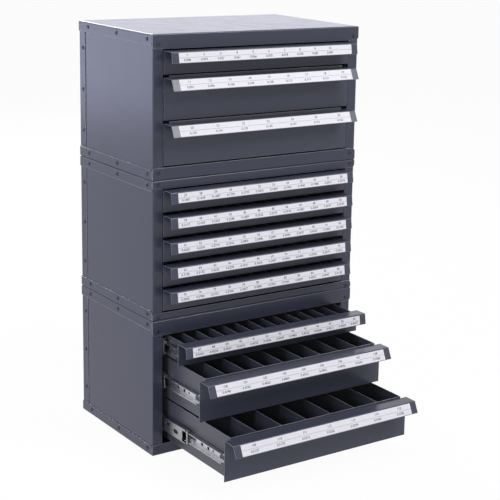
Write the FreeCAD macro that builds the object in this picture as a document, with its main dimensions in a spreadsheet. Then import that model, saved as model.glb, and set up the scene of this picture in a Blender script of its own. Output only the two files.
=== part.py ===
"""Drill bit drawer case: three stacked sheet-steel cases with eleven drawers on three-member slides.

Millimetres. X runs to the right, Y to the back, Z up. The origin is the centre of the stack's base.
The driving dimensions are the cells of the sheet "sizes"; every piece is bound to them by expressions.
"""
import FreeCAD, Part
import math
import os
import re

import Sketcher
from FreeCAD import Placement, Rotation, Vector

doc = FreeCAD.newDocument("bit_drawer_case")

# ---------------------------------------------------------------- driving dimensions

SIZES = (
    ("case_width", 375.0, "one case, over the flanges of its pans"),
    ("case_depth", 237.0, "one case, over the flanges of its pans"),
    ("case_height", 216.5, "one case; three are stacked"),
    ("sheet", 1.0, "gauge of the case's sheet"),
    ("side_lip", 16.0, "how far a pan's side and back flanges reach"),
    ("bend", 2.0, "outer radius of a pan's bends"),
    ("lip_round", 6.0, "rounded corner at the end of a flange"),
    ("lip_slit", 1.0, "slit between a pan's front and side flanges"),
    ("post_width", 17.3, "front and rear posts folded in from a side"),
    ("post_return", 24.0, "the post's return, which carries the slides"),
    ("wrap_width", 19.0, "back panel's flange along the side"),
    ("wrap_gap", 3.5, "groove in front of that flange"),
    ("upper_top_lip", 22.0, "upper case: front flange of the top pan"),
    ("upper_floor_lip", 19.0, "upper case: front flange of the bottom pan"),
    ("middle_top_lip", 13.0, "middle case: front flange of the top pan"),
    ("middle_floor_lip", 12.0, "middle case: front flange of the bottom pan"),
    ("lower_top_lip", 23.5, "lower case: front flange of the top pan"),
    ("lower_floor_lip", 17.5, "lower case: front flange of the bottom pan"),
    ("shallow_row", 39.5, "height given to a shallow drawer; the deep ones share the rest"),
    ("front_gap", 4.4, "gap between the fronts of two drawers"),
    ("front_play", 1.0, "play between a front and a post"),
    ("front_sheet", 1.0, "gauge of a drawer's front"),
    ("front_bend", 2.0, "outer radius of a front's bends"),
    ("front_return", 11.0, "fold under the tray at a front's bottom edge"),
    ("ledge", 22.5, "how far the pull stands forward of its panel"),
    ("nose_drop", 17.0, "height of the pull's nose"),
    ("nose_lean", 2.5, "how far a shallow drawer's nose leans forward"),
    ("deep_nose_lean", 8.0, "how far a deep drawer's nose leans forward"),
    ("tray_rear_room", 27.0, "from a closed tray to the back panel"),
    ("tray_sheet", 0.9, "gauge of a tray"),
    ("tray_drop", 1.0, "how far a shallow tray's rim is below its front's top"),
    ("deep_tray_rise", 2.2, "how far a deep tray's rim stands above its front's top"),
    ("divider_sheet", 0.8, "gauge of a divider"),
    ("divider_drop", 0.5, "how far a divider is below the tray's rim"),
    ("upper_1_bins", 11, "compartments of a drawer"),
    ("upper_2_bins", 9, "compartments of a drawer"),
    ("upper_3_bins", 7, "compartments of a drawer"),
    ("middle_bins", 12, "compartments of each drawer of the middle case"),
    ("lower_1_bins", 13, "compartments of a drawer"),
    ("lower_2_bins", 9, "compartments of a drawer"),
    ("lower_3_bins", 7, "compartments of a drawer"),
    ("rivet_radius", 3.2, "rivet head"),
    ("rivet_rise", 1.0, "rivet head, proud of its flange"),
    ("rivet_front", 15.5, "rows of rivets on the side flanges: the first, behind the front flange"),
    ("rivet_pitch", 94.5, "the next rivet along a side flange"),
    ("rivet_drop", 8.0, "rivets of a top pan's side flanges, below its top"),
    ("rivet_lift", 9.0, "rivets of a bottom pan's side flanges, above its base"),
    ("corner_rivet_inset", 7.5, "corner rivets, from the free edge of a pan's front flange"),
    ("strip_rivet_inset", 10.5, "rivets of the back panel's side flanges, ahead of its face"),
    ("strip_rivet_start", 43.5, "the lowest of them, above the base"),
    ("strip_rivet_pitch", 65.5, "the next one up"),
    ("slide_depth", 11.2, "room for a slide between a post and the tray"),
    ("slide_drop", 2.0, "slides below the middle of their drawers"),
    ("slide_setback", 6.5, "outer member's front end behind the posts' faces"),
    ("slide_rear_room", 17.5, "from an outer member to the back panel"),
    ("outer_height", 27.0, "outer member"),
    ("slide_sheet", 1.0, "gauge of the slide members"),
    ("slide_bend", 1.2, "flat across the rolled corners of the slide members"),
    ("slide_play", 0.3, "running clearance of the ball retainers"),
    ("carriage_height", 22.4, "intermediate member"),
    ("carriage_short", 10.0, "intermediate member, shorter than the outer one"),
    ("carriage_step", 1.6, "intermediate member's web inside the outer member's"),
    ("runner_height", 15.5, "inner member"),
    ("runner_short", 14.0, "inner member, shorter than the outer one"),
    ("runner_setback", 15.0, "inner member's front end behind its drawer's front"),
    ("runner_depth", 7.0, "inner member, away from the tray"),
    ("flange_tip", 2.2, "outer and intermediate flanges stop this far from the tray"),
    ("retainer_width", 3.0, "ball retainer"),
    ("retainer_length", 95.0, "ball retainer"),
    ("retainer_sheet", 0.8, "gauge of the bridge that joins two ball retainers"),
    ("bridge_reach", 5.5, "the bridge, ahead of its intermediate member"),
    ("bridge_width", 3.5, "the bridge, along the slide"),
    ("carriage_notch", 8.5, "intermediate member's open front end, along the slide"),
    ("carriage_notch_height", 17.0, "intermediate member's open front end"),
    ("carriage_slot_start", 47.0, "intermediate member's slot, from its front end"),
    ("carriage_slot_length", 8.0, "intermediate member's slot"),
    ("carriage_slot_height", 4.0, "intermediate member's slot"),
    ("carriage_slot_rise", 4.0, "middle of the intermediate member's slot, above the slide's middle"),
    ("runner_notch", 12.5, "inner member's open front end, along the slide"),
    ("runner_notch_height", 8.0, "inner member's open front end"),
    ("key_start", 43.5, "inner member's upright key slot, from its front end"),
    ("key_length", 2.2, "inner member's key slot, along the slide"),
    ("key_height", 5.6, "inner member's key slot"),
    ("hole_radius", 2.3, "inner member's screw hole"),
    ("hole_start", 62.0, "inner member's screw hole, from its front end"),
    ("slot_start", 79.5, "inner member's long slot, from its front end"),
    ("slot_length", 30.0, "inner member's long slot"),
    ("slot_height", 5.0, "inner member's long slot"),
    ("runner_stroke", 106.0, "travel of a drawer on its intermediate members"),
    ("lower_1_pull", 45.0, "how far the lower case's drawers stand open"),
    ("lower_2_pull", 108.0, "how far the lower case's drawers stand open"),
    ("lower_3_pull", 178.0, "how far the lower case's drawers stand open"),
)

sizes = doc.addObject("Spreadsheet::Sheet", "sizes")
for row, (alias, number, note) in enumerate(SIZES, start=1):
    sizes.set(f"A{row}", note)
    sizes.set(f"B{row}", str(number))
    sizes.setAlias(f"B{row}", alias)
doc.recompute()

ALIASES = {alias for alias, number, note in SIZES}


def linked(formula):
    """The formula with the name of each size pointing at its cell."""
    return re.sub(r"[a-z][a-z0-9_]*", lambda word: "sizes." * (word[0] in ALIASES) + word[0], formula)


def bind(item, **formulas):
    """Binds properties of an item; a double underscore stands for a dot."""
    for name, formula in formulas.items():
        item.setExpression(name.replace("__", "."), linked(formula))


def place(item, x="0", y="0", z="0"):
    bind(item, Placement__Base__x=x, Placement__Base__y=y, Placement__Base__z=z)


# Places that several pieces share, as formulas of the sizes.
SIDE_FACE = "(case_width / 2 - sheet)"
FRONT_FACE = "(case_depth / 2 - sheet)"
POST_INNER = f"({SIDE_FACE} - post_width)"
CLEAR_HEIGHT = "(case_height - 2 * sheet)"
SLIDE_FRONT = f"({FRONT_FACE} - slide_setback)"
SLIDE_LENGTH = f"({SLIDE_FRONT} + {FRONT_FACE} - sheet - slide_rear_room)"
CARRIAGE_LENGTH = f"({SLIDE_LENGTH} - carriage_short)"
TRAY_WIDTH = f"(2 * ({POST_INNER} - slide_depth))"
TRAY_LENGTH = f"(2 * {FRONT_FACE} - sheet - front_sheet - tray_rear_room)"
TRAY_INNER = f"({TRAY_WIDTH} - 2 * tray_sheet)"

# Each case from the bottom up: the kind of each drawer and the cell with its number of bins.
CASES = (
    ("lower", (("deep", "lower_3_bins"), ("deep", "lower_2_bins"), ("shallow", "lower_1_bins"))),
    ("middle", (("equal", "middle_bins"),) * 5),
    ("upper", (("deep", "upper_3_bins"), ("deep", "upper_2_bins"), ("shallow", "upper_1_bins"))),
)


def row_height(case, kind):
    """The height that a case gives to a drawer of this kind."""
    opening = f"case_height - {case}_top_lip - {case}_floor_lip"
    if kind == "shallow":
        return "shallow_row"
    kinds = [each for each, bins in dict(CASES)[case]]
    used = "shallow_row" if "shallow" in kinds else "0"
    return f"(({opening} - {used}) / {kinds.count(kind)})"


# ---------------------------------------------------------------- sketch and feature helpers

def new_body(name):
    return doc.addObject("PartDesign::Body", name)


def new_sketch(body, name, plane):
    sketch = body.newObject("Sketcher::SketchObject", name)
    support = next(item for item in body.Origin.OriginFeatures if item.Role == plane)
    sketch.AttachmentSupport = [(support, "")]
    sketch.MapMode = "FlatFace"
    return sketch


def pin_point(sketch, geometry, vertex, across, up):
    """Holds one point of a sketch at a pair of formulas, measured from the origin."""
    start = sketch.getPoint(geometry, vertex)
    for kind, formula, rough in (("DistanceX", across, start.x), ("DistanceY", up, start.y)):
        index = sketch.addConstraint(Sketcher.Constraint(kind, -1, 1, geometry, vertex, rough))
        sketch.setExpression(f"Constraints[{index}]", linked(formula))


def outline(body, name, plane, corners):
    """A closed outline of straight edges; each corner is a pair of formulas."""
    sketch = new_sketch(body, name, plane)
    count = len(corners)
    turn = 2 * math.pi / count
    rough = [Vector(count * math.cos(k * turn), count * math.sin(k * turn), 0) for k in range(count)]
    for k in range(count):
        sketch.addGeometry(Part.LineSegment(rough[k], rough[(k + 1) % count]))
    for k in range(count):
        sketch.addConstraint(Sketcher.Constraint("Coincident", k, 2, (k + 1) % count, 1))
    for k, (across, up) in enumerate(corners):
        pin_point(sketch, k, 1, across, up)
    return sketch


def rectangle(body, name, plane, left, right, low, high):
    return outline(body, name, plane, ((left, low), (right, low), (right, high), (left, high)))


def octagon(body, name, plane, across, up, radius):
    """Eight flats round a centre, for the many small holes and heads that would be round."""
    half_flat = math.tan(math.pi / 8)
    steps = ((1, half_flat), (half_flat, 1), (-half_flat, 1), (-1, half_flat),
             (-1, -half_flat), (-half_flat, -1), (half_flat, -1), (1, -half_flat))
    corners = [(f"{across} + {x:.6f} * {radius}", f"{up} + {y:.6f} * {radius}") for x, y in steps]
    return outline(body, name, plane, corners)


def pad(body, sketch, length, reverse=False, both_ways=False):
    feature = body.newObject("PartDesign::Pad", sketch.Name + "_pad")
    feature.Profile = sketch
    feature.Reversed = reverse
    feature.Midplane = both_ways
    bind(feature, Length=length)
    doc.recompute()
    return feature


def pocket_through(body, sketch, both_ways=True):
    feature = body.newObject("PartDesign::Pocket", sketch.Name + "_cut")
    feature.Profile = sketch
    feature.Type = "ThroughAll"
    feature.Midplane = both_ways
    doc.recompute()
    return feature


def fillet(body, base, radius, chosen):
    """Rounds the edges of the base feature for which chosen(edge) holds."""
    names = [f"Edge{n}" for n, edge in enumerate(base.Shape.Edges, start=1) if chosen(edge)]
    feature = body.newObject("PartDesign::Fillet", base.Name + "_round")
    feature.Base = (base, names)
    bind(feature, Radius=radius)
    doc.recompute()
    return feature


def near(a, b):
    return abs(a - b) < 0.01


def runs_along(edge, axis):
    ends = [vertex.Point for vertex in edge.Vertexes]
    return len(ends) == 2 and near(abs((ends[1] - ends[0]).normalize().dot(axis)), 1)


def mirrored(body):
    twin = doc.addObject("Part::Mirroring", body.Name + "_twin")
    twin.Source = body
    twin.Normal = Vector(1, 0, 0)
    return twin


def group(name, members):
    item = doc.addObject("Part::Compound", name)
    item.Links = members
    return item


# ---------------------------------------------------------------- case

def make_pan(name, front_lip):
    """Plate with folded flanges, top face at zero and flanges down; the front one has its own height."""
    body = new_body(name)
    deepest = f"(max({front_lip}; side_lip))"
    below = f"-{deepest} - 1"
    front = "-case_depth / 2"
    plate = rectangle(body, name + "_plate", "XY_Plane",
                      "-case_width / 2", "case_width / 2", front, "case_depth / 2")
    blank = pad(body, plate, deepest, reverse=True)
    folded = fillet(body, blank, "bend", lambda edge: all(near(v.Z, 0) for v in edge.Vertexes))
    hollow = rectangle(body, name + "_hollow", "XY_Plane",
                       f"-{SIDE_FACE}", SIDE_FACE, f"-{FRONT_FACE}", FRONT_FACE)
    bind(hollow, AttachmentOffset__Base__z="-sheet")
    pocket_through(body, hollow, both_ways=False)
    sides = rectangle(body, name + "_sides", "YZ_Plane",
                      f"-{FRONT_FACE}", "case_depth / 2 + 1", below, "-side_lip")
    pocket_through(body, sides)
    face = rectangle(body, name + "_face", "YZ_Plane",
                     f"{front} - 1", f"-{FRONT_FACE}", below, f"-{front_lip}")
    pocket_through(body, face)
    slit = rectangle(body, name + "_slit", "YZ_Plane",
                     f"-{FRONT_FACE}", f"-{FRONT_FACE} + lip_slit", below, "-bend - sheet")
    last = pocket_through(body, slit)
    half_width = blank.Shape.BoundBox.XMax
    y_front = blank.Shape.BoundBox.YMin
    y_side = y_front + sizes.sheet + sizes.lip_slit

    def free_corner(edge):
        """A short edge across the sheet at the lower end of the front flange or of a side flange."""
        ends = [vertex.Point for vertex in edge.Vertexes]
        if len(ends) != 2 or not near(edge.Length, sizes.sheet):
            return False
        centre = (ends[0] + ends[1]) / 2
        depth = abs(centre.z)
        on_face = centre.y < y_front + sizes.sheet and near(abs(centre.x), half_width)
        on_side = near(centre.y, y_side) and abs(centre.x) > half_width - sizes.sheet
        low_face = on_face and runs_along(edge, Vector(0, 1, 0)) and depth > 2 * sizes.bend
        low_side = on_side and runs_along(edge, Vector(1, 0, 0)) and near(depth, sizes.side_lip)
        return low_face or low_side

    fillet(body, last, "lip_round", free_corner)
    return body


def make_left_side():
    """One folded sheet: front post with its return, side, joggled tongue, rear post with its return."""
    body = new_body("left_side")
    outer, inner = f"-{SIDE_FACE}", f"-{SIDE_FACE} + sheet"
    tongue_outer, tongue_inner = inner, f"-{SIDE_FACE} + 2 * sheet"
    post, post_back = f"-{POST_INNER}", f"-{POST_INNER} - sheet"
    front, front_back = f"-{FRONT_FACE}", f"-{FRONT_FACE} + sheet"
    rear, rear_front = f"{FRONT_FACE} - sheet", f"{FRONT_FACE} - 2 * sheet"
    joggle = f"{FRONT_FACE} - wrap_width + sheet - wrap_gap"
    corners = (
        (post, f"{front} + post_return"), (post, front), (outer, front), (outer, joggle),
        (tongue_outer, joggle), (tongue_outer, rear), (post, rear), (post, f"{rear} - post_return"),
        (post_back, f"{rear} - post_return"), (post_back, rear_front), (tongue_inner, rear_front),
        (tongue_inner, f"{joggle} - sheet"), (inner, f"{joggle} - sheet"), (inner, front_back),
        (post_back, front_back), (post_back, f"{front} + post_return"),
    )
    plan = outline(body, "left_side_plan", "XY_Plane", corners)
    sheet_form = pad(body, plan, CLEAR_HEIGHT)
    y_front = sheet_form.Shape.BoundBox.YMin
    fillet(body, sheet_form, "sheet", lambda edge: runs_along(edge, Vector(0, 0, 1))
           and near(edge.Vertexes[0].Y, y_front))
    return body


def make_back():
    """Flat panel whose side edges are folded forward over the tongues of the sides."""
    body = new_body("back")
    corners = (
        (f"-{SIDE_FACE}", f"{FRONT_FACE} + sheet - wrap_width"), (f"-{SIDE_FACE}", FRONT_FACE),
        (SIDE_FACE, FRONT_FACE), (SIDE_FACE, f"{FRONT_FACE} + sheet - wrap_width"),
        (f"{SIDE_FACE} - sheet", f"{FRONT_FACE} + sheet - wrap_width"),
        (f"{SIDE_FACE} - sheet", f"{FRONT_FACE} - sheet"),
        (f"-{SIDE_FACE} + sheet", f"{FRONT_FACE} - sheet"),
        (f"-{SIDE_FACE} + sheet", f"{FRONT_FACE} + sheet - wrap_width"),
    )
    pad(body, outline(body, "back_plan", "XY_Plane", corners), CLEAR_HEIGHT)
    return body


def rivet_head(body, name, plane, across, up, face, reverse=False):
    """A blind rivet's head, standing on a face at this distance along the plane's normal."""
    head = octagon(body, name, plane, across, up, "rivet_radius")
    bind(head, AttachmentOffset__Base__z=face)
    pad(body, head, "rivet_rise", reverse=reverse)


def make_side_rivets():
    """Left-hand rivets that hold a side to its pans and to the back panel's flange."""
    body = new_body("side_rivets")
    for row, height in enumerate(("case_height - rivet_drop", "rivet_lift")):
        for step in range(3):
            along = f"-{FRONT_FACE} + rivet_front + {step} * rivet_pitch"
            rivet_head(body, f"pan_rivet_{row}_{step}", "YZ_Plane", along, height, "-case_width / 2",
                       reverse=True)
    for step in range(3):
        height = f"strip_rivet_start + {step} * strip_rivet_pitch"
        rivet_head(body, f"strip_rivet_{step}", "YZ_Plane", f"{FRONT_FACE} - strip_rivet_inset", height,
                   f"-{SIDE_FACE}", reverse=True)
    return body


def make_corner_rivets(case):
    """Left-hand rivets that hold the front flanges of a case's pans to the post."""
    body = new_body(f"{case}_corner_rivets")
    across = f"-{SIDE_FACE} + post_width / 2"
    top = f"case_height - {case}_top_lip + corner_rivet_inset"
    floor = f"{case}_floor_lip - corner_rivet_inset"
    for name, height in (("top", top), ("floor", floor)):
        rivet_head(body, f"{case}_{name}_rivet", "XZ_Plane", across, height, "case_depth / 2")
    return body


# ---------------------------------------------------------------- slides

def make_channel(name, web, tip, height, length):
    """Left-hand C channel along +Y from zero, open towards the tray; web and tip are X formulas."""
    body = new_body(name)
    top, low = f"{height} / 2", f"-{height} / 2"
    inner_top, inner_low = f"{top} - slide_sheet", f"{low} + slide_sheet"
    corners = (
        (web, f"{low} + slide_bend"), (f"{web} + slide_bend", low), (tip, low), (tip, inner_low),
        (f"{web} + slide_sheet", inner_low), (f"{web} + slide_sheet", inner_top), (tip, inner_top),
        (tip, top), (f"{web} + slide_bend", top), (web, f"{top} - slide_bend"),
    )
    pad(body, outline(body, name + "_section", "XZ_Plane", corners), length, reverse=True)
    return body


def make_runner():
    """Inner member: web on the tray, flanges away from it, open at the front, with its holes and slots."""
    body = new_body("runner")
    web, tip = f"-{TRAY_WIDTH} / 2", f"-{TRAY_WIDTH} / 2 - runner_depth"
    top, low = "runner_height / 2", "-runner_height / 2"
    corners = (
        (web, f"{low} + slide_bend"), (f"{web} - slide_bend", low), (tip, low),
        (tip, f"{low} + slide_sheet"), (f"{web} - slide_sheet", f"{low} + slide_sheet"),
        (f"{web} - slide_sheet", f"{top} - slide_sheet"), (tip, f"{top} - slide_sheet"), (tip, top),
        (f"{web} - slide_bend", top), (web, f"{top} - slide_bend"),
    )
    section = outline(body, "runner_section", "XZ_Plane", corners)
    pad(body, section, f"{SLIDE_LENGTH} - runner_short", reverse=True)
    cuts = (
        ("runner_notch", "-1", "runner_notch", "runner_notch_height"),
        ("runner_key", "key_start", "key_start + key_length", "key_height"),
        ("runner_slot", "slot_start", "slot_start + slot_length", "slot_height"),
    )
    for name, start, end, height in cuts:
        cut = rectangle(body, name + "_outline", "YZ_Plane", start, end, f"-{height} / 2", f"{height} / 2")
        pocket_through(body, cut)
    pocket_through(body, octagon(body, "runner_hole", "YZ_Plane", "hole_start", "0", "hole_radius"))
    return body


def make_bridge():
    """The bent plate that joins the inner pair of ball retainers, ahead of the intermediate member."""
    body = new_body("retainer_bridge")
    web, tip = f"{CARRIAGE_WEB} + slide_sheet + slide_play", f"{RETAINER_X} + retainer_width"
    near_race, far_race = INNER_RACE
    corners = (
        (web, f"-{far_race}"), (tip, f"-{far_race}"), (tip, f"-{near_race}"),
        (f"{web} + retainer_sheet", f"-{near_race}"), (f"{web} + retainer_sheet", near_race),
        (tip, near_race), (tip, far_race), (web, far_race),
    )
    section = outline(body, "bridge_section", "XZ_Plane", corners)
    bind(section, AttachmentOffset__Base__z="bridge_reach")
    pad(body, section, "bridge_width", reverse=True)
    return body


def make_retainer(name, low, high, start):
    """A ball retainer strip, above and below, between two nested members."""
    strips = []
    for side, sign in (("top", 1), ("low", -1)):
        strip = doc.addObject("Part::Box", f"{name}_{side}")
        bind(strip, Length="retainer_width", Width="retainer_length", Height=f"{high} - {low}")
        place(strip, x=RETAINER_X, y=start, z=low if sign > 0 else f"-{high}")
        strips.append(strip)
    return strips


OUTER_WEB = f"-{POST_INNER}"
CARRIAGE_WEB = f"(-{POST_INNER} + carriage_step)"
CHANNEL_TIP = f"(-{TRAY_WIDTH} / 2 - flange_tip)"
RETAINER_X = f"({CHANNEL_TIP} - retainer_width - slide_play)"

outer_left = make_channel("outer_channel", OUTER_WEB, CHANNEL_TIP, "outer_height", SLIDE_LENGTH)
carriage_left = make_channel("carriage_channel", CARRIAGE_WEB, CHANNEL_TIP, "carriage_height",
                             CARRIAGE_LENGTH)
notch = rectangle(carriage_left, "carriage_notch_outline", "YZ_Plane", "-1", "carriage_notch",
                  "-carriage_notch_height / 2", "carriage_notch_height / 2")
pocket_through(carriage_left, notch)
slot = rectangle(carriage_left, "carriage_slot_outline", "YZ_Plane",
                 "carriage_slot_start", "carriage_slot_start + carriage_slot_length",
                 "carriage_slot_rise - carriage_slot_height / 2",
                 "carriage_slot_rise + carriage_slot_height / 2")
pocket_through(carriage_left, slot)
OUTER_RACE = ("(carriage_height / 2)", "(outer_height / 2 - slide_sheet - slide_play)")
INNER_RACE = ("(runner_height / 2 + slide_play)", "(carriage_height / 2 - slide_sheet)")
retainers = make_retainer("outer_retainer", *OUTER_RACE, f"{CARRIAGE_LENGTH} - retainer_length")
retainers += make_retainer("inner_retainer", *INNER_RACE, "bridge_width - bridge_reach")
retainers.append(make_bridge())
runner_left = make_runner()

outer_pair = [outer_left, mirrored(outer_left)]
carriage_half = group("carriage_half", [carriage_left] + retainers)
carriage_pair = [carriage_half, mirrored(carriage_half)]
runner_pair = [runner_left, mirrored(runner_left)]


# ---------------------------------------------------------------- drawers

TRAY_START = f"(-{FRONT_FACE} + front_sheet)"


def front_height(case, kind):
    return f"({row_height(case, kind)} - front_gap)"


def make_front(case, kind):
    """One folded sheet: return under the tray, panel, ledge and nose of the full-width pull."""
    body = new_body(f"{case}_{kind}_front")
    lean = "deep_nose_lean" if kind == "deep" else "nose_lean"
    top, low = f"{front_height(case, kind)} / 2", f"-{front_height(case, kind)} / 2"
    panel, panel_back = f"-{FRONT_FACE}", f"-{FRONT_FACE} + front_sheet"
    edge = f"-{FRONT_FACE} - ledge"
    across_nose = f"front_sheet * sqrt(1 + ({lean} / nose_drop) ^ 2)"
    corners = (
        (panel, low), (panel, f"{top} - front_sheet"),
        (f"{edge} - {lean} * front_sheet / nose_drop + {across_nose}", f"{top} - front_sheet"),
        (f"{edge} - {lean} + {across_nose}", f"{top} - nose_drop"),
        (f"{edge} - {lean}", f"{top} - nose_drop"), (edge, top), (panel_back, top), (panel_back, low),
    )
    section = outline(body, body.Name + "_section", "YZ_Plane", corners)
    folded = pad(body, section, f"2 * ({POST_INNER} - front_play)", both_ways=True)
    height = folded.Shape.BoundBox.ZMax
    fillet(body, folded, "front_bend", lambda line: runs_along(line, Vector(1, 0, 0))
           and near(line.Vertexes[0].Z, height))
    foot = rectangle(body, body.Name + "_foot", "YZ_Plane",
                     panel, f"{panel} + front_return", low, f"{low} + front_sheet")
    pad(body, foot, TRAY_WIDTH, both_ways=True)
    return body


def tray_height(case, kind):
    """From the front's foot to the tray's rim, as a formula."""
    above = "+ deep_tray_rise" if kind == "deep" else "- tray_drop"
    return f"({front_height(case, kind)} - front_sheet {above})"


def make_tray(case, kind):
    """Open box that stands on the front's foot, against the back of its panel."""
    body = new_body(f"{case}_{kind}_tray")
    start, end = TRAY_START, f"{TRAY_START} + {TRAY_LENGTH}"
    low = f"-{front_height(case, kind)} / 2 + front_sheet"
    height = tray_height(case, kind)
    plan = rectangle(body, body.Name + "_plan", "XY_Plane",
                     f"-{TRAY_WIDTH} / 2", f"{TRAY_WIDTH} / 2", start, end)
    bind(plan, AttachmentOffset__Base__z=low)
    pad(body, plan, height)
    hollow = rectangle(body, body.Name + "_hollow", "XY_Plane", f"-{TRAY_INNER} / 2", f"{TRAY_INNER} / 2",
                       f"{start} + tray_sheet", f"{end} - tray_sheet")
    bind(hollow, AttachmentOffset__Base__z=f"{low} + tray_sheet")
    room = body.newObject("PartDesign::Pocket", body.Name + "_room")
    room.Profile = hollow
    room.Reversed = True
    bind(room, Length=height)
    doc.recompute()
    return body


def make_dividers(case, kind, bins):
    """Upright sheets from the front wall to the back wall that part the tray into equal bins."""
    body = new_body(bins.replace("bins", "dividers"))
    pitch = f"({TRAY_INNER} / round({bins}))"
    middle = f"(-{TRAY_INNER} / 2 + {pitch})"
    start, end = f"{TRAY_START} + tray_sheet", f"{TRAY_START} + {TRAY_LENGTH} - tray_sheet"
    low = f"-{front_height(case, kind)} / 2 + front_sheet + tray_sheet"
    plate = rectangle(body, body.Name + "_plate", "XY_Plane", f"{middle} - divider_sheet / 2",
                      f"{middle} + divider_sheet / 2", start, end)
    bind(plate, AttachmentOffset__Base__z=low)
    rise = f"{tray_height(case, kind)} - tray_sheet - divider_drop"
    first = pad(body, plate, rise)
    row = body.newObject("PartDesign::LinearPattern", body.Name + "_row")
    row.Originals = [first]
    row.Direction = (plate, ["H_Axis"])
    bind(row, Length=f"{pitch} * (round({bins}) - 2)", Occurrences=f"round({bins}) - 1")
    body.Tip = row
    doc.recompute()
    return body


left_side = make_left_side()
side_pair = [left_side, mirrored(left_side)]
back = make_back()
side_rivets = make_side_rivets()
rivet_sets = []
nodes = []


def add_node(name, members, x="0", y="0", z="0"):
    node = group(name, members)
    node.Label = name
    place(node, x, y, z)
    nodes.append(node)
    return node


def add_drawer(case, number, front, tray, dividers, centre):
    """The pieces of one drawer, pulled out as far as its cell says; the carriages follow past the stroke."""
    name = f"{case}_{number}"
    pull = f"{name}_pull" if f"{name}_pull" in ALIASES else "0"
    carried = f"max(0; {pull} - runner_stroke)"
    add_node(f"{name}_front", [front], y=f"-{pull}", z=centre)
    add_node(f"{name}_tray", [tray, dividers], y=f"-{pull}", z=centre)
    slide_centre = f"{centre} - slide_drop"
    runner_front, carriage_front = f"-{FRONT_FACE} + runner_setback", f"-{SLIDE_FRONT} + slide_sheet"
    add_node(f"{name}_runners", runner_pair, y=f"{runner_front} - {pull}", z=slide_centre)
    add_node(f"{name}_carriages", carriage_pair, y=f"{carriage_front} - {carried}", z=slide_centre)


def add_case(level, case, drawers):
    """One case with its drawers, numbered from the top; level 0 stands on the ground."""
    base = f"{level} * case_height"
    add_node(f"{case}_top_pan", [make_pan(f"{case}_top", f"{case}_top_lip")], z=f"{base} + case_height")
    turned = group(f"{case}_floor_turned", [make_pan(f"{case}_floor", f"{case}_floor_lip")])
    turned.Placement = Placement(Vector(), Rotation(Vector(0, 1, 0), 180))
    add_node(f"{case}_bottom_pan", [turned], z=base)
    add_node(f"{case}_sides", side_pair, z=f"{base} + sheet")
    add_node(f"{case}_back", [back], z=f"{base} + sheet")
    left_heads = [side_rivets, make_corner_rivets(case)]
    heads = group(f"{case}_rivets", left_heads + [mirrored(head) for head in left_heads])
    place(heads, z=base)
    rivet_sets.append(heads)
    fronts = {kind: make_front(case, kind) for kind in dict(drawers)}
    trays = {kind: make_tray(case, kind) for kind in dict(drawers)}
    dividers = {bins: make_dividers(case, kind, bins) for kind, bins in set(drawers)}
    outer_pairs = []
    below = f"{base} + {case}_floor_lip"
    for step, (kind, bins) in enumerate(drawers):
        number = len(drawers) - step
        centre = f"{below} + {row_height(case, kind)} / 2"
        below = f"{below} + {row_height(case, kind)}"
        pair = group(f"{case}_{number}_outer_pair", outer_pair)
        place(pair, y=f"-{SLIDE_FRONT}", z=f"{centre} - slide_drop")
        outer_pairs.append(pair)
        add_drawer(case, number, fronts[kind], trays[kind], dividers[bins], centre)
    add_node(f"{case}_slides", outer_pairs)


for level, (case, drawers) in enumerate(CASES):
    add_case(level, case, drawers)
add_node("rivets", rivet_sets)
doc.recompute()

# ---------------------------------------------------------------- checks and files

for item in doc.Objects:
    if "Invalid" in item.State or "Error" in item.State:
        raise RuntimeError(f"{item.Name} failed: {item.State}")
for node in nodes:
    if node.Shape.isNull() or not node.Shape.isValid() or not node.Shape.Solids:
        raise RuntimeError(f"{node.Label} has no sound shape")

os.makedirs("parts", exist_ok=True)
for node in nodes:
    node.Shape.exportStep(os.path.join("parts", f"{node.Label}.step"))
print(len(nodes), "nodes,", sum(len(node.Shape.Solids) for node in nodes), "solids")
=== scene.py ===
import math

import bmesh
import bpy
from mathutils import Matrix, Vector


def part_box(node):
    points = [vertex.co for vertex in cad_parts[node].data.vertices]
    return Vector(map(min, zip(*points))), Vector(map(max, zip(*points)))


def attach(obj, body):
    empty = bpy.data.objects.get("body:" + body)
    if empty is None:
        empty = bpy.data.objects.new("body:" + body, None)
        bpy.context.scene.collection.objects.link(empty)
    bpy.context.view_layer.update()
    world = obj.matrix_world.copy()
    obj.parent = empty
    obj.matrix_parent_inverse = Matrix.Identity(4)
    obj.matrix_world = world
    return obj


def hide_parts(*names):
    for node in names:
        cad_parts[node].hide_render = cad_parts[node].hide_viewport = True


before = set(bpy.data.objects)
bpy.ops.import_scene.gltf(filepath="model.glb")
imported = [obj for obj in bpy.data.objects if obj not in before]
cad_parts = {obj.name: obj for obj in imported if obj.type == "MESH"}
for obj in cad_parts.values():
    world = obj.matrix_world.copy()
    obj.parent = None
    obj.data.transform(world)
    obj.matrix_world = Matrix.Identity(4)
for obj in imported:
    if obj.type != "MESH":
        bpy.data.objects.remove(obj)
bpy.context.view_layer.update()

CASES = {"upper": 3, "middle": 5, "lower": 3}
DRAWERS = [f"{case}_{number}" for case, count in CASES.items() for number in range(1, count + 1)]


# ================================================================ case sheets
# Each case is five folded steel sheets: a pan at the top and one at the bottom, two sides and a back.
# They are degreased, sprayed and baked together, so one blue-grey enamel runs over all of them.
# It has a faint orange peel and slow drifts of tone, and a pale painted highlight along every edge stands
# in for the light its rounded edges catch.

class Value:
    """A shader socket that takes part in Python arithmetic."""

    def __init__(self, shader, socket):
        self.shader = shader
        self.socket = socket

    def math(self, operation, first, second):
        return self.shader.node("ShaderNodeMath", {0: first, 1: second}, operation=operation)

    def __add__(self, other):
        return self.math("ADD", self, other)

    def __mul__(self, other):
        return self.math("MULTIPLY", self, other)

    def __rsub__(self, other):
        return self.math("SUBTRACT", other, self)


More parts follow.
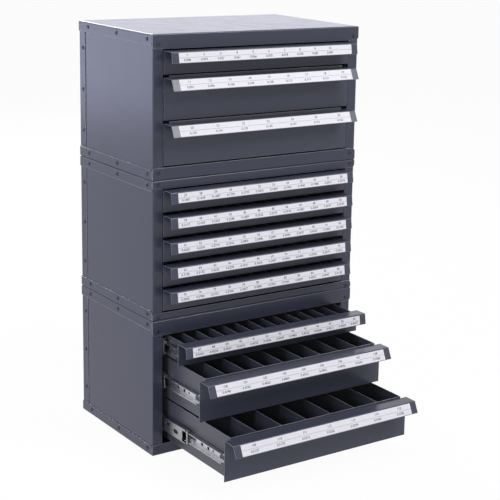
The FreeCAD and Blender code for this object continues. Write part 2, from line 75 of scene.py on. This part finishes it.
class Shader:
    """A material and the nodes that feed its surface shader."""

    def __init__(self, name):
        self.material = bpy.data.materials.new(name)
        self.material.use_nodes = True
        self.nodes = self.material.node_tree.nodes
        self.links = self.material.node_tree.links
        self.surface = self.nodes["Principled BSDF"]
        self.output = self.nodes["Material Output"]

    def feed(self, socket, value):
        if isinstance(value, Value):
            self.links.new(value.socket, socket)
        else:
            socket.default_value = value

    def node(self, kind, inputs, output=0, **settings):
        """Adds a node, sets it, feeds its sockets and gives back one of its outputs."""
        made = self.nodes.new(kind)
        for name, value in settings.items():
            setattr(made, name, value)
        for name, value in inputs.items():
            self.feed(made.inputs[name], value)
        return Value(self, made.outputs[output])

    def noise(self, where, scale, detail):
        """Noise about one half; the scale is in spots per metre."""
        return self.node("ShaderNodeTexNoise", {"Vector": where, "Scale": scale, "Detail": detail},
                         output="Fac")

    def between(self, factor, first, second):
        """A colour that runs from the first to the second as the factor rises."""
        first, second = (end if isinstance(end, Value) else (*end, 1) for end in (first, second))
        return self.node("ShaderNodeMix", {"Factor": factor, "A": first, "B": second},
                         output="Result", data_type="RGBA")

    def finish(self, **sockets):
        """Feeds the surface shader; an underscore stands for a space."""
        for name, value in sockets.items():
            self.feed(self.surface.inputs[name.replace("_", " ")], value)
        return self.material


PEEL_HEIGHT = 0.0004
PEEL_STRENGTH = 0.05
TONE_SPREAD = 0.08
ROUGHNESS_SPREAD = 0.08
EDGE_HIGHLIGHT_REACH = 3.5
EDGE_SAMPLES = 6


def shades(colour, *factors):
    return [tuple(channel * factor for channel in colour) for factor in factors]


def enamel(name, colour, roughness, gloss, edge, edge_highlight_colour):
    """Baked enamel; within the edge radius the film rounds over and turns to a pale painted edge highlight.
    """
    paint = Shader(name)
    where = paint.node("ShaderNodeTexCoord", {}, output="Object")
    drift = paint.noise(where, scale=7.0, detail=3.0)
    handling = paint.noise(where, scale=38.0, detail=5.0)
    peel = paint.noise(where, scale=620.0, detail=1.0)
    rounded = paint.node("ShaderNodeBevel", {"Radius": edge}, samples=EDGE_SAMPLES)
    normal = paint.node("ShaderNodeBump", {"Height": peel, "Strength": PEEL_STRENGTH,
                                           "Distance": PEEL_HEIGHT, "Normal": rounded})
    flat = paint.node("ShaderNodeNewGeometry", {}, output="Normal")
    facing = paint.node("ShaderNodeVectorMath", {0: rounded, 1: flat}, output="Value",
                        operation="DOT_PRODUCT")
    # Painted highlight: the colour turns pale where the rounded normal leans away from the face, along
    # every edge.
    painted_edge_highlight = paint.node("ShaderNodeMath", {0: 1.0 - facing, 1: EDGE_HIGHLIGHT_REACH}, operation="MULTIPLY",
                      use_clamp=True)
    dark, light = shades(colour, 1 - TONE_SPREAD, 1 + TONE_SPREAD)
    film_with_highlight = paint.between(painted_edge_highlight, paint.between(drift, dark, light), edge_highlight_colour)
    uneven = handling * ROUGHNESS_SPREAD + (roughness - ROUGHNESS_SPREAD / 2)
    return paint.finish(Base_Color=film_with_highlight, Roughness=uneven, Specular_IOR_Level=gloss, Normal=normal)


def paint_nodes(names, material):
    for name in names:
        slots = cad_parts[name].data.materials
        slots.clear()
        slots.append(material)


# The pale edge colour is a painted highlight on the sheets' edges.
case_enamel = enamel("case_enamel", (0.040, 0.043, 0.070), roughness=0.22, gloss=0.34,
                     edge=0.0010, edge_highlight_colour=(0.62, 0.63, 0.70))
paint_nodes([f"{case}_{sheet}" for case in CASES for sheet in ("top_pan", "bottom_pan", "sides", "back")],
            case_enamel)


# ================================================================ rivets
# Blind rivets hold each case together: along the sides, down the rear flanges and on the posts.
# Each is a low steel dome with the small well of its broken mandrel, and looks darker than the sheets.

FACING_UP = 0.9
LEVEL = 0.99
ROUND_SIDES = 24
RIVET_RADIUS = 0.0032
RIVET_RISE = 0.0010
DOME_EDGE = 0.00075
DOME_STEPS = 3
WELL_RADIUS = 0.00125
WELL_DEPTH = 0.0007
WELD_DISTANCE = 1e-6
SMOOTH_ANGLE = math.radians(40)
RIVET_TONE = (0.022, 0.024, 0.040)


def select_faces(piece, chosen):
    """In edit mode, selects just the faces that pass the test."""
    bpy.ops.mesh.select_mode(type="FACE")
    bpy.ops.mesh.select_all(action="DESELECT")
    shape = bmesh.from_edit_mesh(piece.data)
    for face in shape.faces:
        face.select_set(chosen(face))
    bmesh.update_edit_mesh(piece.data)


def new_cylinder(name, radius, depth, sides, place=(0, 0, 0)):
    bpy.ops.object.select_all(action="DESELECT")
    bpy.ops.mesh.primitive_cylinder_add(vertices=sides, radius=radius, depth=depth, location=place)
    bpy.context.object.name = name
    return bpy.context.object


def join_copies(placed, name):
    """One object of copies, each from a pair of a piece and the matrix that places it."""
    copies = []
    for piece, place in placed:
        copy = piece.copy()
        copy.data = piece.data.copy()
        copy.data.transform(place @ piece.matrix_world)
        copy.matrix_world = Matrix()
        bpy.context.scene.collection.objects.link(copy)
        copies.append(copy)
    bpy.ops.object.select_all(action="DESELECT")
    for copy in copies:
        copy.select_set(True)
    bpy.context.view_layer.objects.active = copies[0]
    bpy.ops.object.join()
    copies[0].name = name
    return copies[0]


def solids_of(node):
    """Lowest and highest corner of every separate solid of a CAD node."""
    shape = bmesh.new()
    shape.from_mesh(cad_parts[node].data)
    bmesh.ops.remove_doubles(shape, verts=shape.verts, dist=WELD_DISTANCE)
    boxes, done = [], set()
    for start in shape.verts:
        if start in done:
            continue
        solid, newest = set(), {start}
        while newest:
            solid |= newest
            newest = {link.other_vert(vert) for vert in newest for link in vert.link_edges} - solid
        done |= solid
        boxes.append([Vector([pick(vert.co[axis] for vert in solid) for axis in range(3)])
                      for pick in (min, max)])
    shape.free()
    return boxes


def standing_on(place, outward):
    """Matrix that stands a piece made along +Z on this place, pointing outward."""
    return Matrix.Translation(place) @ Vector(outward).to_track_quat("Z", "Y").to_matrix().to_4x4()


head = new_cylinder("rivet_head", RIVET_RADIUS, RIVET_RISE, ROUND_SIDES, (0, 0, RIVET_RISE / 2))
bpy.ops.object.mode_set(mode="EDIT")
select_faces(head, lambda face: face.normal.z > FACING_UP)
bpy.ops.mesh.region_to_loop()
bpy.ops.mesh.bevel(offset=DOME_EDGE, segments=DOME_STEPS, affect="EDGES")
select_faces(head, lambda face: face.normal.z > LEVEL)
bpy.ops.mesh.inset(thickness=RIVET_RADIUS - DOME_EDGE - WELL_RADIUS)
bpy.ops.mesh.extrude_region_move(TRANSFORM_OT_translate={"value": (0, 0, -WELL_DEPTH)})
bpy.ops.object.mode_set(mode="OBJECT")

rivet_places = []
for low, high in solids_of("rivets"):
    middle = (low + high) / 2
    if high.y - low.y < RIVET_RADIUS:
        rivet_places.append(standing_on((middle.x, high.y, middle.z), (0, -1, 0)))
    else:
        inner_x = low.x if middle.x > 0 else high.x
        rivet_places.append(standing_on((inner_x, middle.y, middle.z), (math.copysign(1, middle.x), 0, 0)))
rivets = join_copies([(head, place) for place in rivet_places], "rivet_heads")
bpy.data.objects.remove(head)
bpy.ops.object.shade_smooth_by_angle(angle=SMOOTH_ANGLE)
rivets.data.materials.append(enamel("rivet_enamel", RIVET_TONE, roughness=0.22, gloss=0.34,
                                    edge=0.0003, edge_highlight_colour=RIVET_TONE))
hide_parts("rivets")
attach(rivets, "root")


# ================================================================ slides
# Every drawer hangs on a pair of three-member slides, rolled from zinc-plated strip.
# The outer members are spot welded to the cases' posts; the plating has fine lines along the roll.

ROLL_LINES = (1400.0, 14.0, 1400.0)
LINE_DEPTH = 0.0002
LINE_STRENGTH = 0.08
ROLLED_EDGE = 0.0004
LEAST_ROUGHNESS = 0.18
LINE_ROUGHNESS = 0.10
CLOUD_ROUGHNESS = 0.10
CLOUD_SHADES = (0.80, 1.06)


def plated(name, colour):
    """Zinc plate with the lengthwise lines of rolled strip and a slightly cloudy sheen."""
    zinc = Shader(name)
    where = zinc.node("ShaderNodeTexCoord", {}, output="Object")
    stretched = zinc.node("ShaderNodeMapping", {"Vector": where, "Scale": ROLL_LINES})
    lines = zinc.noise(stretched, scale=1.0, detail=2.0)
    cloud = zinc.noise(where, scale=55.0, detail=4.0)
    rounded = zinc.node("ShaderNodeBevel", {"Radius": ROLLED_EDGE}, samples=EDGE_SAMPLES)
    normal = zinc.node("ShaderNodeBump", {"Height": lines, "Strength": LINE_STRENGTH,
                                          "Distance": LINE_DEPTH, "Normal": rounded})
    dull, bright = shades(colour, *CLOUD_SHADES)
    uneven = lines * LINE_ROUGHNESS + cloud * CLOUD_ROUGHNESS + LEAST_ROUGHNESS
    return zinc.finish(Base_Color=zinc.between(cloud, dull, bright), Metallic=1.0, Roughness=uneven,
                       Normal=normal)


zinc_plate = plated("zinc_plate", (0.60, 0.61, 0.63))
# Painted shade: the outer and intermediate members take a darker copy of the same zinc, for the case's
# shade they sit in.
shaded_zinc_plate = plated("shaded_zinc_plate", (0.37, 0.38, 0.39))
paint_nodes([f"{case}_slides" for case in CASES], shaded_zinc_plate)
paint_nodes([f"{drawer}_carriages" for drawer in DRAWERS], shaded_zinc_plate)
paint_nodes([f"{drawer}_runners" for drawer in DRAWERS], zinc_plate)


# ================================================================ slide fittings
# The press leaves a low rim round the inner member's hole and round the intermediate member's window.
# Black pieces are painted shade in the dark openings: a disc in the inner member's hole, a tab over its
# slot, a flat arrow on its pressed arrow, and a disc in the intermediate member's window.
# Places run along the slide from the member's front end, and a stretch makes a round outline oval.

RUNNER_WEB_INSET = 0.0060
BRIDGE_REACH = 0.0055
RIM_RISE = 0.00025
HOLE_PLACE = 0.0620
HOLE_STRETCH = 0.0014
HOLE_RIM_RADIUS = 0.0033
HOLE_RIM_WIDTH = 0.0009
HOLE_SHADE_RADIUS = 0.0024
HOLE_SHADE_RISE = 0.0002
SLOT_SHADE_PLACE = 0.0446
SLOT_SHADE_SIZE = (0.0040, 0.0060, 0.0004)
SLOT_SHADE_CHAMFER = 0.0001
MARK_PLACE = 0.0310
MARK_RADIUS = 0.0027
MARK_SIDES = 3
WINDOW_PLACE = 0.0270
WINDOW_STRETCH = 0.0070
WINDOW_RADIUS = 0.0032
WINDOW_RIM_RADIUS = 0.0046
WINDOW_RIM_WIDTH = 0.0014
PRINT_RISE = 0.0001


def oval_disc(name, radius, depth, sides, stretch=0.0):
    """Disc that stands on the XY plane, its two halves drawn apart along X by the stretch."""
    disc = new_cylinder(name, radius, depth, sides, (0, 0, depth / 2))
    bpy.ops.object.mode_set(mode="EDIT")
    for side in (-1, 1):
        select_faces(disc, lambda face: abs(face.normal.z) < FACING_UP
                     and side * face.calc_center_median().x > 0)
        bpy.ops.transform.translate(value=(side * stretch / 2, 0, 0))
    bpy.ops.object.mode_set(mode="OBJECT")
    return disc


def pressed_rim(name, radius, width, stretch=0.0):
    """Closed ring of this width with the outline of the oval disc."""
    rim = oval_disc(name, radius, RIM_RISE, ROUND_SIDES, stretch)
    bpy.ops.object.mode_set(mode="EDIT")
    for side in (-1, 1):
        select_faces(rim, lambda face: side * face.normal.z > FACING_UP)
        bpy.ops.mesh.inset(thickness=width)
        bpy.ops.mesh.delete(type="ONLY_FACE")
    bpy.ops.mesh.select_mode(type="EDGE")
    bpy.ops.mesh.select_all(action="DESELECT")
    bpy.ops.mesh.select_non_manifold()
    bpy.ops.mesh.bridge_edge_loops()
    bpy.ops.object.mode_set(mode="OBJECT")
    return rim


def on_web(side, web, along, height):
    """Matrix from the XY plane to a slide's web on this side, with X along it and Z outward."""
    turned = Matrix(((0, 0, side), (side, 0, 0), (0, 1, 0))).to_4x4()
    return Matrix.Translation((side * web, along, height)) @ turned


bpy.ops.object.select_all(action="DESELECT")
bpy.ops.mesh.primitive_cube_add(size=1, location=(0, 0, SLOT_SHADE_SIZE[2] / 2))
slot_shade = bpy.context.object
slot_shade.data.transform(Matrix.Diagonal((*SLOT_SHADE_SIZE, 1)))
bpy.ops.object.mode_set(mode="EDIT")
select_faces(slot_shade, lambda face: face.normal.z > FACING_UP)
bpy.ops.mesh.bevel(offset=SLOT_SHADE_CHAMFER, segments=1, affect="EDGES")
bpy.ops.object.mode_set(mode="OBJECT")

# Painted shade: this black stands in for the shade inside the slides' hole, slot, pressed arrow and window.
black_plastic = Shader("black_plastic").finish(Base_Color=(0.012, 0.012, 0.014, 1), Roughness=0.6,
                                               Specular_IOR_Level=0.1)

hole_rim = pressed_rim("hole_rim", HOLE_RIM_RADIUS, HOLE_RIM_WIDTH, HOLE_STRETCH)
hole_shade = oval_disc("hole_shade", HOLE_SHADE_RADIUS, HOLE_SHADE_RISE, ROUND_SIDES, HOLE_STRETCH)
arrow_shade = oval_disc("arrow_shade", MARK_RADIUS, PRINT_RISE, MARK_SIDES)
window_rim = pressed_rim("window_rim", WINDOW_RIM_RADIUS, WINDOW_RIM_WIDTH, WINDOW_STRETCH)
window_shade = oval_disc("window_shade", WINDOW_RADIUS, PRINT_RISE, ROUND_SIDES, WINDOW_STRETCH)


def fit_to_slides(drawer, member, name, pieces, material):
    """Copies of the pieces on the left and right webs of one drawer's inner or intermediate members."""
    low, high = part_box(f"{drawer}_{member}")
    middle = (low[2] + high[2]) / 2
    if member == "runners":
        web, front, body = high[0] - RUNNER_WEB_INSET, low[1], "drawer"
    else:
        web, front, body = high[0], low[1] + BRIDGE_REACH, "carriage"
    fitted = join_copies([(piece, on_web(side, web, front + along, middle))
                          for piece, along in pieces for side in (-1, 1)], f"{drawer}_{name}")
    fitted.data.materials.append(material)
    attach(fitted, f"{drawer}_{body}")


for drawer in DRAWERS:
    fit_to_slides(drawer, "runners", "runner_rims", [(hole_rim, HOLE_PLACE)], zinc_plate)
    fit_to_slides(drawer, "runners", "runner_shade_marks",
                  [(hole_shade, HOLE_PLACE), (slot_shade, SLOT_SHADE_PLACE), (arrow_shade, MARK_PLACE)],
                  black_plastic)
    fit_to_slides(drawer, "carriages", "carriage_rims", [(window_rim, WINDOW_PLACE)], shaded_zinc_plate)
    fit_to_slides(drawer, "carriages", "carriage_window_shades", [(window_shade, WINDOW_PLACE)],
                  black_plastic)
for piece in (hole_rim, hole_shade, slot_shade, arrow_shade, window_rim, window_shade):
    bpy.data.objects.remove(piece)


# ================================================================ drawers
# A drawer is a folded tray with dividers tacked into it and a front sheet whose top edge is folded
# forward and down into a full-width pull. All of it has the case's enamel, a little flatter inside.

# Painted highlight: the drawers' edges turn this pale colour, for the light their rounded edges catch.
DRAWER_EDGE = 0.0008
DRAWER_EDGE_HIGHLIGHT = (0.40, 0.41, 0.45)

tray_enamel = enamel("tray_enamel", (0.058, 0.060, 0.071), roughness=0.34, gloss=0.45,
                     edge=DRAWER_EDGE, edge_highlight_colour=DRAWER_EDGE_HIGHLIGHT)
front_enamel = enamel("front_enamel", (0.052, 0.056, 0.083), roughness=0.24, gloss=0.30,
                      edge=DRAWER_EDGE, edge_highlight_colour=DRAWER_EDGE_HIGHLIGHT)
paint_nodes([f"{drawer}_tray" for drawer in DRAWERS], tray_enamel)
paint_nodes([f"{drawer}_front" for drawer in DRAWERS], front_enamel)


# ================================================================ strips
# A white plastic strip lies on the nose of every pull and is held by its adhesive back.
# It stops short of both ends of the pull, where the enamel shows. Deep drawers' noses lean out more.

STRIP_LENGTH = 0.3130
STRIP_GAUGE = 0.00025
STRIP_CHAMFER = STRIP_GAUGE / 3
STRIP_ABOVE_EDGE = 0.0008
NOSE_DROP = 0.0170
NOSE_LEAN = 0.0025
DEEP_NOSE_LEAN = 0.0080
NOSE_BEND = 0.0020
DEEP_DRAWER = 0.050


def nose_of(drawer):
    """Matrix from a flat strip to a pull's nose, Y up along it and Z outward, and the strip's height."""
    low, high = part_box(f"{drawer}_front")
    lean = DEEP_NOSE_LEAN if high[2] - low[2] > DEEP_DRAWER else NOSE_LEAN
    slope = math.atan2(lean, NOSE_DROP)
    bend_end = NOSE_BEND * math.tan(math.pi / 4 - slope / 2)
    top_edge = Vector((0, low[1] + lean, high[2]))
    turned = Matrix.Rotation(math.pi / 2 - slope, 4, "X")
    height = math.hypot(lean, NOSE_DROP) - bend_end - STRIP_ABOVE_EDGE
    middle = Matrix.Translation((0, -bend_end - height / 2, 0))
    return Matrix.Translation(top_edge) @ turned @ middle, height


strip_sheet = Shader("strip_sheet")
where = strip_sheet.node("ShaderNodeTexCoord", {}, output="Object")
worn = strip_sheet.noise(where, scale=90.0, detail=4.0)
strip_sheet.finish(Base_Color=strip_sheet.between(worn, (0.69, 0.68, 0.73), (0.75, 0.74, 0.79)),
                   Roughness=0.55, Specular_IOR_Level=0.25)

for drawer in DRAWERS:
    onto_nose, height = nose_of(drawer)
    bpy.ops.object.select_all(action="DESELECT")
    bpy.ops.mesh.primitive_cube_add(size=1)
    strip = bpy.context.object
    strip.name = f"{drawer}_strip"
    strip.data.transform(Matrix.Diagonal((STRIP_LENGTH, height, STRIP_GAUGE, 1)))
    bpy.ops.object.mode_set(mode="EDIT")
    select_faces(strip, lambda face: face.normal.z > FACING_UP)
    bpy.ops.mesh.bevel(offset=STRIP_CHAMFER, segments=1, affect="EDGES")
    bpy.ops.object.mode_set(mode="OBJECT")
    strip.data.transform(onto_nose @ Matrix.Translation((0, 0, STRIP_GAUGE / 2)))
    strip.data.materials.append(strip_sheet.material)
    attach(strip, f"{drawer}_drawer")


# ================================================================ numbers
# Each strip is printed in grey with a thin line along its middle and one column for each compartment:
# the compartment's number, counted through the stack, over a plain decimal size.
# The top strip leaves its last column bare.

COLUMNS = {"upper": (10, 9, 7), "middle": (12,) * 5, "lower": (13, 9, 7)}
BARE_COLUMNS = {"upper_1": 1}
DECIMALS = {"upper": 3, "middle": 4, "lower": 4}
TRAY_INSIDE = 0.3142
BASE_SIZE = 0.044
SIZE_STEP = 0.0043
FIGURE_SIZE = 0.0052
FIGURE_WEIGHT = 0.00008
FIGURE_CURVE_STEPS = 2
ROW_OFFSET = 0.24
LINE_HEIGHT = 0.0003
INK_GAP = 0.00003

ink = Shader("strip_ink").finish(Base_Color=(0.05, 0.05, 0.06, 1), Roughness=0.6)


def print_figures(text, place):
    """Figures as a flat mesh centred on a place of the strip."""
    bpy.ops.object.select_all(action="DESELECT")
    bpy.ops.object.text_add()
    figures = bpy.context.object
    figures.data.body = text
    figures.data.size = FIGURE_SIZE
    figures.data.offset = FIGURE_WEIGHT
    figures.data.align_x = "CENTER"
    figures.data.align_y = "CENTER"
    figures.data.resolution_u = FIGURE_CURVE_STEPS
    bpy.ops.object.convert(target="MESH")
    figures = bpy.context.object
    figures.data.transform(Matrix.Translation(place))
    return figures


count = 0
for case, rows in COLUMNS.items():
    for number, columns in enumerate(rows, start=1):
        drawer = f"{case}_{number}"
        onto_nose, height = nose_of(drawer)
        pitch = TRAY_INSIDE / (columns + BARE_COLUMNS.get(drawer, 0))
        bpy.ops.object.select_all(action="DESELECT")
        bpy.ops.mesh.primitive_plane_add(size=1)
        line = bpy.context.object
        line.data.transform(Matrix.Diagonal((STRIP_LENGTH, LINE_HEIGHT, 1, 1)))
        printed = [line]
        for column in range(columns):
            count += 1
            across = (column + 0.5) * pitch - TRAY_INSIDE / 2
            size = f"{BASE_SIZE + count * SIZE_STEP:.{DECIMALS[case]}f}"
            printed.append(print_figures(str(count), (across, height * ROW_OFFSET, 0)))
            printed.append(print_figures(size, (across, -height * ROW_OFFSET, 0)))
        bpy.ops.object.select_all(action="DESELECT")
        for figures in printed:
            figures.select_set(True)
        bpy.context.view_layer.objects.active = line
        bpy.ops.object.join()
        line.name = f"{drawer}_numbers"
        line.data.transform(onto_nose @ Matrix.Translation((0, 0, STRIP_GAUGE + INK_GAP)))
        line.data.materials.clear()
        line.data.materials.append(ink)
        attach(line, f"{drawer}_drawer")


# ================================================================ floor
# A plain pale floor runs far behind the stack, so that it fills the view.
# It shows as near white to the camera and in reflections, and keeps part of the shadow.

FLOOR_SIZE = 30.0
FLOOR_DROP = 0.0005
FLOOR_COLOUR = (0.88, 0.88, 0.88, 1)
WHITE = (1, 1, 1, 1)
WHITE_SHARE = 0.96

bpy.ops.object.select_all(action="DESELECT")
bpy.ops.mesh.primitive_plane_add(size=FLOOR_SIZE, location=(0, 0, -FLOOR_DROP))
floor = bpy.context.object
floor.name = "floor"
ground = Shader("pale_floor")
rays = ground.nodes.new("ShaderNodeLightPath")
seen = ground.node("ShaderNodeMath", {0: Value(ground, rays.outputs["Is Camera Ray"]),
                                      1: Value(ground, rays.outputs["Is Glossy Ray"])}, operation="MAXIMUM")
glow = ground.node("ShaderNodeEmission", {"Color": WHITE, "Strength": 1.0})
ground.finish(Base_Color=FLOOR_COLOUR, Roughness=0.9)
lit = Value(ground, ground.surface.outputs["BSDF"])
mixed = ground.node("ShaderNodeMixShader", {0: seen * WHITE_SHARE, 1: lit, 2: glow})
ground.feed(ground.output.inputs["Surface"], mixed)
floor.data.materials.append(ground.material)


# ================================================================ light
# The key softbox hangs in front, to the right and above, and is helped by one in front and one overhead.
# Cool ones on the left and behind light the cases' sides, and a high one behind shines on the top.
# The room is white to the camera and in reflections, and adds a little light from all round.

def softbox(name, place, target, width, height, power, colour=(1, 1, 1)):
    """A rectangular lamp that stands at the place and shines at the target."""
    data = bpy.data.lights.new(name, "AREA")
    data.color = colour
    data.shape = "RECTANGLE"
    data.size = width
    data.size_y = height
    data.energy = power
    lamp = bpy.data.objects.new(name, data)
    lamp.location = place
    lamp.rotation_euler = (Vector(target) - Vector(place)).to_track_quat("-Z", "Y").to_euler()
    bpy.context.scene.collection.objects.link(lamp)


COOL = (0.70, 0.72, 1.0)
ROOM_LIGHT = 0.15

softbox("right_softbox", (1.28, -1.88, 1.98), (0, -0.1, 0.35), 0.75, 0.75, 28.0)
softbox("front_softbox", (-0.8, -2.4, 0.85), (0, -0.1, 0.45), 0.8, 0.8, 11.0)
softbox("left_softbox", (-1.8, -0.2, 0.95), (-0.1, 0, 0.40), 0.9, 0.9, 18.0, COOL)
softbox("back_softbox", (1.65, 2.6, 0.75), (0, 0, 0.50), 1.5, 1.5, 4.0, COOL)
softbox("far_left_softbox", (-1.9, 2.3, 0.32), (-0.1, 0, 0.32), 1.8, 0.55, 7.5, COOL)
softbox("high_softbox", (0.0, 2.6, 1.9), (-0.1, 0, 0.45), 1.1, 1.1, 60.0)
softbox("overhead_softbox", (0.5, -0.9, 2.1), (0, -0.15, 0.30), 0.7, 0.7, 14.0)

world = bpy.data.worlds.new("studio")
bpy.context.scene.world = world
world.use_nodes = True
sky = world.node_tree.nodes["Background"]
sky.inputs["Color"].default_value = WHITE
path = world.node_tree.nodes.new("ShaderNodeLightPath")
visible = world.node_tree.nodes.new("ShaderNodeMath")
visible.operation = "MAXIMUM"
world.node_tree.links.new(path.outputs["Is Camera Ray"], visible.inputs[0])
world.node_tree.links.new(path.outputs["Is Glossy Ray"], visible.inputs[1])
strength = world.node_tree.nodes.new("ShaderNodeMapRange")
strength.inputs["To Min"].default_value = ROOM_LIGHT
strength.inputs["To Max"].default_value = 1.0
world.node_tree.links.new(visible.outputs[0], strength.inputs["Value"])
world.node_tree.links.new(strength.outputs[0], sky.inputs["Strength"])


# ================================================================ camera
# It stands to the left of the drawers, just above the top of the stack, and looks slightly down.

CAMERA_PLACE = (-1.1451, -1.8349, 0.8428)
CAMERA_TURN = math.radians(-36.39)
CAMERA_DIP = math.radians(12.45)
CAMERA_ROLL = math.radians(1.58)
FOCAL_LENGTH = 97.4
LENS_SHIFT = (-0.14, -0.10)

lens = bpy.data.cameras.new("camera")
lens.lens = FOCAL_LENGTH
lens.shift_x, lens.shift_y = LENS_SHIFT
camera = bpy.data.objects.new("camera", lens)
camera.matrix_world = (Matrix.Translation(CAMERA_PLACE) @ Matrix.Rotation(CAMERA_TURN, 4, "Z")
                       @ Matrix.Rotation(math.pi / 2 - CAMERA_DIP, 4, "X")
                       @ Matrix.Rotation(CAMERA_ROLL, 4, "Z"))
bpy.context.scene.collection.objects.link(camera)
bpy.context.scene.camera = camera
bpy.context.scene.view_settings.view_transform = "Standard"
